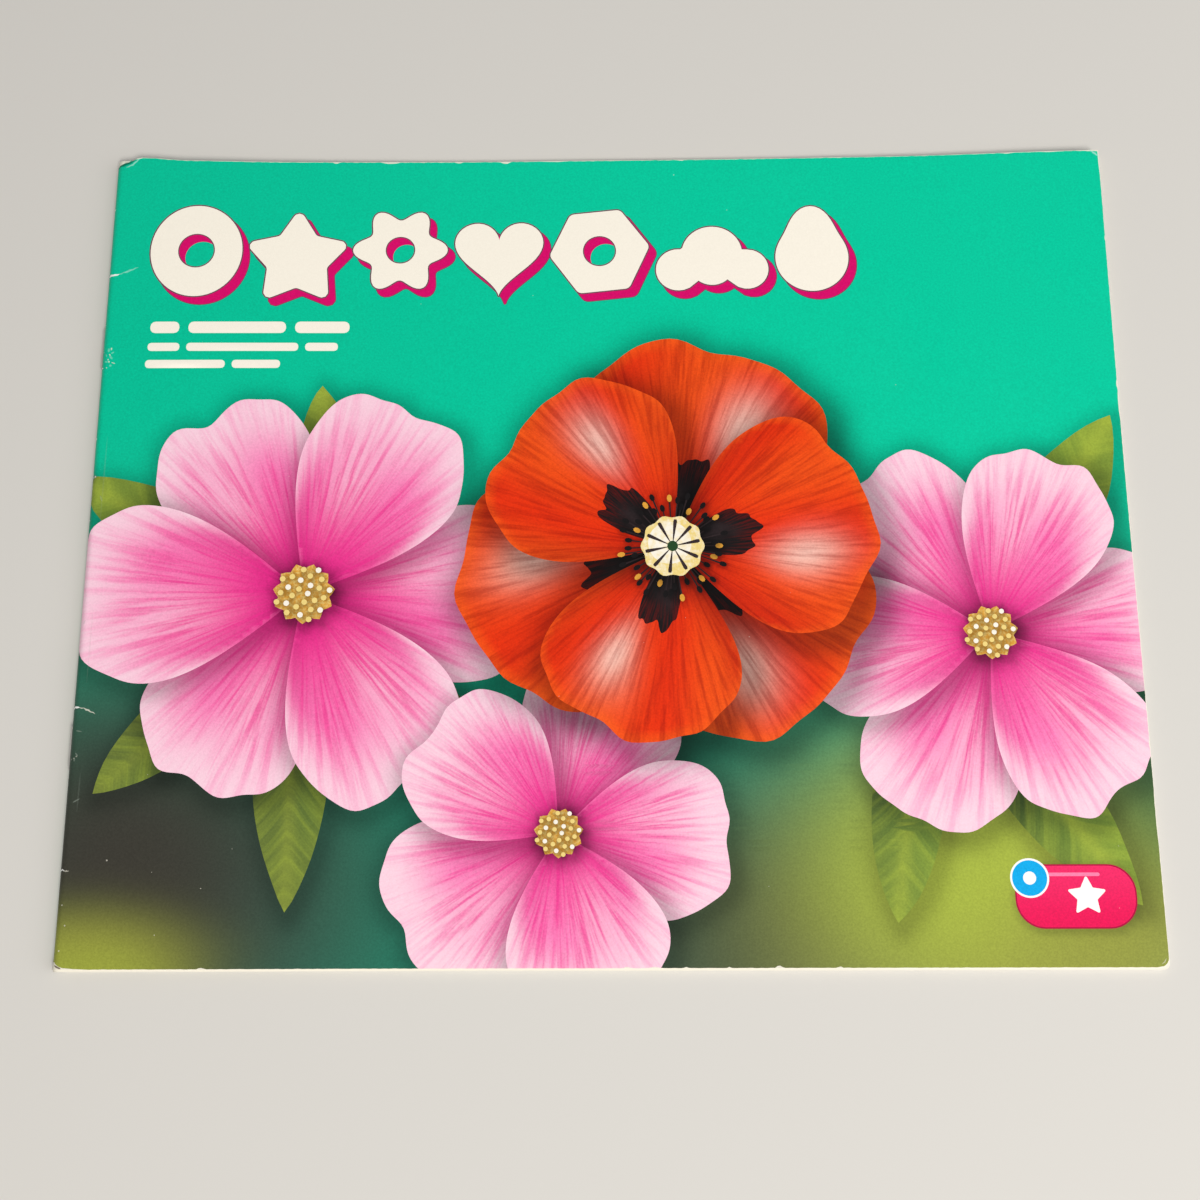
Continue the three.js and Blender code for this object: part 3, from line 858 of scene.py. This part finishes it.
def paper_material(name, colour, dark, roughness, scale):
    """Plain paper or the cut edge of card, with short fibres."""
    material, tree, shader = new_material(name)
    fibres = noise(tree, object_place(tree), scale, 5.0, 0.7)
    set_inputs(tree, shader, {
        "Base Color": ramp(tree, fibres, [(0.32, dark), (0.62, colour)]), "Roughness": roughness,
        "Normal": bump(tree, fibres, 0.35, 0.00005)})
    return material


def wire_material(name):
    """Drawn steel wire, with fine lines along it and a dull film of age."""
    material, tree, shader = new_material(name)
    along = add_node(tree, "Mapping", {"Vector": object_place(tree), "Scale": (9000.0, 500.0, 9000.0)})
    lines = noise(tree, along.outputs["Vector"], 1.0, 3.0)
    set_inputs(tree, shader, {
        "Base Color": ramp(tree, lines, [(0, WIRE_DARK), (1, WIRE_LIGHT)]), "Metallic": 0.55,
        "Roughness": stretched(tree, lines, (0, 0.25), (1, 0.45))})
    return material


COVER_PRINT = print_material("cover_print", 0.4, 0.12, 0.03)
PAGE_PRINT = print_material("page_print", 0.52, 0.02, 0.0)
CARD_EDGE = paper_material("card_edge", BARE_CARD, CARD_SHADE, 0.8, 2400.0)
PAGE_EDGE = paper_material("page_edge", PAGE_WHITE, PAGE_SHADE, 0.75, 3000.0)
STEEL = wire_material("staple_wire")
CARD_LOOK, PAPER_LOOK = (COVER_PRINT, CARD_EDGE), (PAGE_PRINT, PAGE_EDGE)


# ---- sheets

@dataclass
class Face:
    """Print, worn places, painted shade and painted highlights of one side of a sheet."""
    shapes: list = ()
    ground: Callable = flat_paint(PAGE_WHITE)
    marks: list = ()


def cross(first, second):
    return first[..., 0] * second[..., 1] - first[..., 1] * second[..., 0]


def thinned(loop):
    """The loop without the points that lie all but on the one before them."""
    gap = np.hypot(*(loop - np.roll(loop, 1, axis=0)).T)
    return loop[gap > 5 * MERGE]


def cut(loops, grid):
    """Triangles of the first loop's inside, cut along all loops, and the loops that hold each."""
    points, faces = [], []
    for loop in map(thinned, loops):
        faces.append(list(range(len(points), len(points) + len(loop))))
        if cross(loop, np.roll(loop, -1, axis=0)).sum() < 0:
            loop = loop[::-1]
        # from its lowest point, where the inside is surely on the left
        points.extend(Vector(point) for point in np.roll(loop, -int(loop[:, 1].argmin()), axis=0))
    points.extend(Vector(point) for point in grid)
    corners, _, found, _, _, holders = delaunay_2d_cdt(points, [], faces, 1, MERGE)
    corners = np.array([tuple(corner) for corner in corners])
    triangles, inside = [], []
    for triangle, holder in zip(found, holders):
        if 0 in holder and len(triangle) == 3:
            a, b, c = corners[list(triangle)]
            area = cross(b - a, c - a)
            if abs(area) >= TINY:
                triangles.append(list(triangle) if area > 0 else list(triangle)[::-1])
                inside.append(holder)
    used, index = np.unique(np.array(triangles), return_inverse=True)
    return corners[used], index.reshape(-1, 3), inside


def topmost(holders, shapes, first):
    """Number of the uppermost shape that shows on each triangle, counted from 1, and 0 where none
    does. The first shape's outline is the loop numbered `first`."""
    loop_of = {id(shape): first + n for n, shape in enumerate(shapes)}
    loop_of[id(None)] = 0        # the sheet's own outline, which holds every triangle
    owner = []
    for holder in holders:
        showing = [n - first + 1 for n in holder if 0 <= n - first < len(shapes)
                   and loop_of[id(shapes[n - first].inside)] in holder]
        owner.append(max(showing, default=0))
    return np.array(owner)


def triangles_in(holders, first, marks):
    """Numbers of the triangles inside each mark. The first mark's outline is loop `first`."""
    inside = [[] for _ in marks]
    for number, holder in enumerate(holders):
        for n in holder:
            if 0 <= n - first < len(marks):
                inside[n - first].append(number)
    return inside


def distance_to(outline, points):
    """Distance from each point to a closed outline, 0 inside it."""
    start, end = outline, np.roll(outline, -1, axis=0)
    side = end - start
    offset = points[:, None, :] - start[None]
    along = np.clip((offset * side).sum(2) / np.maximum((side ** 2).sum(1), TINY), 0, 1)
    near = np.sqrt(((offset - along[..., None] * side) ** 2).sum(2).min(1))
    x, y = points[:, :1], points[:, 1:]
    rising = (start[:, 1] > y) != (end[:, 1] > y)
    rise = np.where(side[:, 1] == 0, 1, side[:, 1])
    hits = rising & (x < start[:, 0] + (y - start[:, 1]) * side[:, 0] / rise)
    near[hits.sum(1) % 2 == 1] = 0
    return near


def paint_face(corners, triangles, owner, face, marked):
    """Ink, vein and flow at each corner of each triangle. marked[n] are the triangles in mark n."""
    inks, veins = np.zeros((2, len(triangles), 3, 4), np.float32)
    flows = np.zeros((len(triangles), 3, 3), np.float32)
    for number, paint in enumerate([face.ground] + [shape.paint for shape in face.shapes]):
        mine = np.flatnonzero(owner == number)
        if len(mine):
            points = corners[triangles[mine]].reshape(-1, 2)
            colour, vein, strength, flow = paint(points)
            for layer, tone in ((inks, colour), (veins, vein)):
                layer[mine, :, :3] = np.broadcast_to(tone, (len(points), 3)).reshape(-1, 3, 3)
            inks[mine, :, 3] = np.broadcast_to(strength, len(points)).reshape(-1, 3)
            flows[mine, :, :2] = flow.reshape(-1, 3, 2)
            flows[mine, :, 2] = number * VEIN_SHIFT
    veins[..., 3] = 1
    for number, shape in enumerate(face.shapes, 1):
        if shape.shadow:
            right, up, reach, strength = shape.shadow
            outline = shape.outline + (right, up)
            low, high = outline.min(0) - SHADE_FADED * reach, outline.max(0) + SHADE_FADED * reach
            close = np.flatnonzero(((corners > low) & (corners < high)).all(1))
            shade = np.zeros(len(corners))
            shade[close] = strength * hill(distance_to(outline, corners[close]), reach)
            below = np.flatnonzero(owner < number)
            for layer in (inks, veins):
                layer[below, :, :3] *= (1 - shade[triangles[below]])[..., None]
    for mark, mine in zip(face.marks, marked):
        for layer in (inks, veins):
            layer[mine, :, :3] += mark.strength * (mark.colour - layer[mine, :, :3])
    return inks, veins, flows


def add_object(name, data):
    added = bpy.data.objects.new(name, data)
    bpy.context.scene.collection.objects.link(added)
    return added


def build_sheet(name, outline, place, thickness, grid, look, top=Face(), under=Face()):
    """Closed sheet with its print. place(points, depth) puts page points, at a depth under its top
    face, in the row frame. The look is the material of its faces and that of its cut edges."""
    layers = [*top.shapes, *under.shapes, *top.marks, *under.marks]
    corners, triangles, holders = cut([outline] + [layer.outline for layer in layers], grid)
    count = len(corners)
    edges = {pair for a, b, c in triangles.tolist() for pair in ((a, b), (b, c), (c, a))}
    rim = [(a, b) for a, b in sorted(edges) if (b, a) not in edges]
    walls = [(a, a + count, b + count, b) for a, b in rim]
    faces = triangles.tolist() + (triangles[:, ::-1] + count).tolist()
    positions = np.concatenate([place(corners, 0.0), place(corners, thickness)])
    mesh = bpy.data.meshes.new(name)
    mesh.from_pydata(positions.tolist(), [], faces + walls)
    for material in look:
        mesh.materials.append(material)

    under_first = 1 + len(top.shapes)
    mark_first = under_first + len(under.shapes)
    upper = paint_face(corners, triangles, topmost(holders, top.shapes, 1), top,
                       triangles_in(holders, mark_first, top.marks))
    lower = paint_face(corners, triangles, topmost(holders, under.shapes, under_first), under,
                       triangles_in(holders, mark_first + len(top.marks), under.marks))
    for label, kind, field, above, below in zip(
            ("Ink", "Vein", "Flow"), ("FLOAT_COLOR", "FLOAT_COLOR", "FLOAT_VECTOR"),
            ("color", "color", "vector"), upper, lower):
        on_walls = np.ones((len(walls) * 4, above.shape[2]), np.float32)
        values = [above.ravel(), below[:, ::-1].ravel(), on_walls.ravel()]
        mesh.attributes.new(label, kind, "CORNER").data.foreach_set(field, np.concatenate(values))

    on_wall = [0] * len(faces) + [1] * len(walls)
    mesh.polygons.foreach_set("use_smooth", [not wall for wall in on_wall])
    mesh.polygons.foreach_set("material_index", on_wall)
    rims = {frozenset(pair) for pair in rim} | {frozenset((a + count, b + count)) for a, b in rim}
    mesh.edges.foreach_set("use_edge_sharp", [frozenset(edge.vertices) in rims for edge in mesh.edges])
    mesh.update()
    return add_object(name, mesh)


def spread(low, high, step):
    """Even places strictly between two values."""
    count = max(2, round((high - low) / step))
    return list(np.linspace(low, high, count + 1)[1:-1])


def grid_points(columns, rows):
    return [(x, y) for x in columns for y in rows]


# ---- where the sheets lie

def swell_at(x):
    """How much higher the front half is near the fold."""
    return SWELL * (1 - smooth(FOLD_X, FOLD_X + SWELL_REACH, x))


def curl_at(x, y):
    """How far the upper corner by the fore-edge curls up."""
    across = np.maximum(0, 1 - (WIDTH - x) / CURL_WIDTH)
    down = np.maximum(0, 1 - (HEIGHT - y) / CURL_DEPTH)
    return CURL * across ** CURL_POWER * down ** CURL_POWER


def lip_at(x, y):
    """How far the head of the front cover is pushed out beside its bent corner."""
    across = smooth(LIP_START, LIP_TOP, x) * smooth(LIP_END, LIP_TOP, x)
    return LIP * across * smooth(HEIGHT - LIP_DEPTH, HEIGHT, y)


def hollow_at(x, y):
    """How far the head of the whole stack lies inside a straight line."""
    across = smooth(HOLLOW_START, HOLLOW_FULL, x) * smooth(WIDTH, HOLLOW_FADE, x)
    return HOLLOW * across * smooth(HEIGHT - HOLLOW_DEPTH, HEIGHT, y)


def splay_at(x, y):
    """How far the whole stack bulges out at its tail by the spine."""
    return SPLAY * smooth(SPLAY_WIDTH, -FOLD_RADIUS, x) * smooth(SPLAY_HEIGHT, 0, y)


def beyond(x, y, first, last):
    """How far page points lie on the left of the line from first to last."""
    way = np.subtract(last, first) / math.dist(first, last)
    return np.maximum(0, (y - first[1]) * way[0] - (x - first[0]) * way[1])


def dent_at(x, y):
    """How far the head's two corners of the upper sheets are bent down."""
    return sum(steepness * beyond(x, y, first, last) for steepness, first, last in DENTS)


def to_row(x, y, z):
    """Points in the row frame, in metres."""
    across, up = x - splay_at(x, y), y - hollow_at(x, y)
    return np.stack([ORIGIN_X + across * MM, ORIGIN_Y + up * MM, z * MM], 1)


def front_place(start_depth, curl_share, lip_share=0):
    """Front half, which comes down from the fold; depth counts from the outside of the cover."""
    def place(points, depth):
        x, y = points.T
        top = FLAT_TOP + swell_at(x) + curl_share * curl_at(x, y) - dent_at(x, y)
        return to_row(x, y + lip_share * lip_at(x, y), top - start_depth - depth)
    return place


def back_place(start_depth):
    """Back half, flat on the table. Its first face is the inner one."""
    def place(points, depth):
        x, y = points.T
        return to_row(x, y, start_depth - depth + 0 * x)
    return place


def fold_place(start_depth):
    """Round the fold: page x goes back from the front half, over the spine, to the back half."""
    def place(points, depth):
        x, y = points.T
        radius = FOLD_RADIUS - start_depth - depth
        turn = np.clip((FOLD_X - x) / FOLD_RADIUS, 0, math.pi)
        ahead, past = np.maximum(x - FOLD_X, 0), np.maximum(FOLD_X - x - FOLD_LENGTH, 0)
        z = FOLD_RADIUS + radius * np.cos(turn)
        dent = smooth(FOLD_RADIUS, 2 * FOLD_RADIUS, z) * dent_at(x, y)
        return to_row(FOLD_X - radius * np.sin(turn) + ahead + past, y, z - dent)
    return place


def arc(x, y, radius, start, count):
    """Quarter of a circle about (x, y), anticlockwise."""
    return [away(x, y, radius, angle) for angle in np.linspace(start, start + QUARTER, count)]


def outline_of(left, right, tail, head, tail_corner, head_corner, rough):
    """Outline of a sheet with its two fore-edge corners rounded, and slightly uneven cut edges."""
    def uneven(value):
        return value + RANDOM.uniform(-rough, rough)
    points = [(left, tail)] + [(x, uneven(tail)) for x in spread(left, right - tail_corner, EDGE_STEP)]
    points += arc(right - tail_corner, tail + tail_corner, tail_corner, -QUARTER, 6)
    points += [(uneven(right), y) for y in spread(tail + tail_corner, head - head_corner, EDGE_STEP)]
    points += arc(right - head_corner, head - head_corner, head_corner, 0, 5)
    edge = [(x, uneven(head)) for x in reversed(spread(left, right - head_corner, EDGE_STEP))]
    edge += [(x, head) for x in np.arange(left + LIP_STEP, LIP_END, LIP_STEP)]
    points += sorted(edge, reverse=True) + [(left, head)]
    return np.array(points + [(left, y) for y in reversed(spread(tail, head, ART_STEP))])


def fold_outline(tail, head, step, rise):
    """Outline of the strip round the fold, with enough points to bend."""
    across = [FOLD_END, *spread(FOLD_END, SEAM_X, step), SEAM_X]
    up = spread(tail, head, rise)
    return np.array([(x, tail) for x in across] + [(SEAM_X, y) for y in up]
                    + [(x, head) for x in reversed(across)] + [(FOLD_END, y) for y in reversed(up)])


# ---- pieces

def make_front_cover(art, wear_and_painted_light):
    outline = outline_of(SEAM_X, COVER_FORE, COVER_TAIL, COVER_HEAD, *FRONT_CORNERS, COVER_ROUGH)
    grid = grid_points(spread(5, WIDTH, ART_STEP), spread(COVER_TAIL, HEIGHT, ART_STEP))
    bend = CREASE_X - BEND, CREASE_X + BEND
    grid += grid_points(np.linspace(*bend, 9), spread(COVER_TAIL, HEIGHT, 0.3))
    inner = mirrored(paragraph(30, 40, 90, 5, 1.4, 3.8, OUTLINE_GREY))
    piece = build_sheet("front_cover", outline, front_place(0, 1, 1), CARD, grid, CARD_LOOK,
                        Face(art, meadow_paint, wear_and_painted_light), Face(inner))
    start, end = ((ORIGIN_X + x * MM, 0, 0) for x in bend)
    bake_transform(piece)
    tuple(start)
    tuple(end)
    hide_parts("cover_front", "cover_hinge")


def ride_fold(piece):
    """Bakes the piece's place into its mesh."""
    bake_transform(piece)


def make_spine(art, wear_and_painted_light):
    """The cover's fold. The front's picture ends on its middle, where the back's plain teal begins."""
    left, middle = FOLD_END - 1, FOLD_X - FOLD_LENGTH / 2
    back = np.array([(left, -1), (middle, -1), (middle, HEIGHT + 1), (left, HEIGHT + 1)])
    grid = grid_points(spread(FOLD_END, SEAM_X, CARD_STEP), spread(COVER_TAIL, HEIGHT, ART_STEP))
    piece = build_sheet("spine_fold", fold_outline(COVER_TAIL, HEIGHT, CARD_STEP, ART_STEP), fold_place(0),
                        CARD, grid, CARD_LOOK, Face(art + [patch(back, TEAL)], meadow_paint, wear_and_painted_light))
    ride_fold(piece)
    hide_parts("cover_spine")


def make_back_cover():
    outline = outline_of(SEAM_X, BACK_FORE, 0, HEIGHT, *BACK_CORNERS, COVER_ROUGH)
    grid = grid_points(spread(SEAM_X, WIDTH, PAGE_ART_STEP), spread(0, HEIGHT, PAGE_ART_STEP))
    face = Face(mirrored(back_art()), flat_paint(TEAL), back_wear())
    piece = build_sheet("back_cover", outline, back_place(CARD), CARD, grid, CARD_LOOK, under=face)
    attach(piece, "back_half")
    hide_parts("cover_back")


def make_sheet(number):
    """One folded sheet of paper: front leaf, fold and back leaf."""
    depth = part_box(f"leaf_back_{number}")[0][2] / MM   # under the outside of the cover
    first, last = number == 1, number == SHEETS
    step = PAGE_ART_STEP if first or last else PLAIN_STEP
    grid = grid_points(spread(SEAM_X, WIDTH, step), spread(0, HEIGHT, step))
    leaf = SEAM_X, WIDTH, 0, HEIGHT, *PAGE_CORNERS, PAGE_ROUGH
    front = build_sheet(f"page_front_{number}", outline_of(*leaf), front_place(depth, FAN ** number), LEAF,
                        grid, PAPER_LOOK, Face(title_page_art() if first else ()),
                        Face(mirrored(left_page_art()) if last else ()))
    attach(front, "front_half")
    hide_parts(f"leaf_front_{number}")
    back = build_sheet(f"page_back_{number}", outline_of(*leaf), back_place(depth + LEAF), LEAF,
                       grid, PAPER_LOOK, Face(right_page_art() if last else ()))
    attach(back, "back_half")
    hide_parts(f"leaf_back_{number}")
    grid = grid_points(spread(FOLD_END, SEAM_X, PAPER_STEP), spread(0, HEIGHT, FOLD_RISE))
    fold = build_sheet(f"page_fold_{number}", fold_outline(0, HEIGHT, PAPER_STEP, FOLD_RISE),
                       fold_place(depth), LEAF, grid, PAPER_LOOK)
    ride_fold(fold)
    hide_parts(f"fold_{number}")


def wire_route(low, high, radius):
    """Middle line of a staple that lies in its box: clinched leg, leg, crown, leg, clinched leg."""
    inner, outer = high[0] - radius, low[0] + radius
    tail, head = low[1] + radius, high[1] - radius
    clinch, bend = CLINCH * MM, BEND_RADIUS * MM
    corners = [(inner, tail + clinch), (inner, tail), (outer, tail), (outer, head), (inner, head),
               (inner, head - clinch)]
    route = [corners[0]]
    for before, here, after in zip(corners, corners[1:], corners[2:]):
        back = np.subtract(before, here) / math.dist(before, here)
        ahead = np.subtract(after, here) / math.dist(after, here)
        middle = np.array(here) + (back + ahead) * bend
        for angle in np.linspace(0, QUARTER, 7):
            route.append(tuple(middle - ahead * bend * math.cos(angle) - back * bend * math.sin(angle)))
    return route + [corners[-1]]


def make_staple(number):
    """Round steel wire through the fold, with its ends chisel-cut and bent flat inside."""
    low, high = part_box(f"staple_{number}")
    radius, height = (high[2] - low[2]) / 2, (high[2] + low[2]) / 2
    route = wire_route(low, high, radius)
    last = len(route) - 1
    vertices, faces = [], []
    for n, (x, y) in enumerate(route):
        before, after = route[max(n - 1, 0)], route[min(n + 1, last)]
        way = np.subtract(after, before) / math.dist(before, after)
        size = radius * (WIRE_TIP if n in (0, last) else 1)
        for side in range(WIRE_SIDES):
            angle = side * FULL / WIRE_SIDES
            across = size * math.cos(angle)
            vertices.append((x - way[1] * across, y + way[0] * across, height + size * math.sin(angle)))
            if n < last:
                here, beside = n * WIRE_SIDES + side, n * WIRE_SIDES + (side + 1) % WIRE_SIDES
                faces.append((here, beside, beside + WIRE_SIDES, here + WIRE_SIDES))
    round_faces = len(faces)
    faces += [range(WIRE_SIDES)[::-1], range(len(vertices) - WIRE_SIDES, len(vertices))]
    mesh = bpy.data.meshes.new(f"wire_{number}")
    mesh.from_pydata(vertices, [], faces)
    mesh.polygons.foreach_set("use_smooth", [n < round_faces for n in range(len(faces))])
    mesh.materials.append(STEEL)
    piece = add_object(f"wire_{number}", mesh)
    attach(piece, "spine")
    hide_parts(f"staple_{number}")


# ---- floor, light, camera

FLOOR_SIZE = 6
LAMPS = [                        # name, place, size, watts and colour
    ("key", (0.4, -0.85, 1.25), 0.6, 19.0, (1.0, 0.97, 0.93)),
    ("fill", (1.0, -0.3, 0.8), 1.1, 5.6, (0.95, 0.97, 1.0)),
]
SKY_COLOUR, SKY_STRENGTH = (0.97, 0.98, 1.0, 1), 0.26

CAMERA_AT = Vector((3.09, -72.26, 272.85)) * MM
CAMERA_TARGET = Vector((-1.22, -13.66, 1.8)) * MM
CAMERA_ROLL = math.radians(-0.16)
CAMERA_LENS, CAMERA_SENSOR = 39.5, 36.0


def make_stage():
    material, tree, shader = new_material("floor")
    set_inputs(tree, shader, {"Base Color": (*FLOOR_GREY, 1), "Roughness": 0.9, "Specular IOR Level": 0.1})
    bpy.ops.mesh.primitive_plane_add(size=FLOOR_SIZE, location=(0, 0, 0))
    floor = bpy.context.object
    floor.name = "floor"
    floor.data.materials.append(material)


def make_lights():
    for name, place, size, watts, colour in LAMPS:
        light = bpy.data.lights.new(name, "AREA")
        light.shape, light.size = "DISK", size
        light.energy, light.color = watts, colour
        lamp = add_object(name, light)
        lamp.location = place
        lamp.rotation_euler = (-Vector(place)).to_track_quat("-Z", "Y").to_euler()
    world = bpy.data.worlds.new("studio")
    world.use_nodes = True
    sky = world.node_tree.nodes["Background"]
    set_inputs(world.node_tree, sky, {"Color": SKY_COLOUR, "Strength": SKY_STRENGTH})
    bpy.context.scene.world = world
    bpy.context.scene.view_settings.view_transform = "Standard"


def make_camera():
    data = bpy.data.cameras.new("camera")
    data.lens, data.sensor_width, data.clip_start = CAMERA_LENS, CAMERA_SENSOR, 0.01
    camera = add_object("camera", data)
    forward = (CAMERA_TARGET - CAMERA_AT).normalized()
    right = forward.cross(Vector((0, 1, 0))).normalized()
    look = Matrix((right, right.cross(forward), -forward)).transposed()
    camera.rotation_euler = (look @ Matrix.Rotation(CAMERA_ROLL, 3, "Z")).to_euler()
    camera.location = CAMERA_AT
    bpy.context.scene.camera = camera


make_camera()
make_stage()
make_lights()
front_shapes, front_marks = front_art(), front_wear_and_painted_light()
make_front_cover(front_shapes, front_marks)
make_spine(front_shapes, front_marks)
make_back_cover()
for sheet_number in range(1, SHEETS + 1):
    make_sheet(sheet_number)
for staple_number in (1, 2):
    make_staple(staple_number)
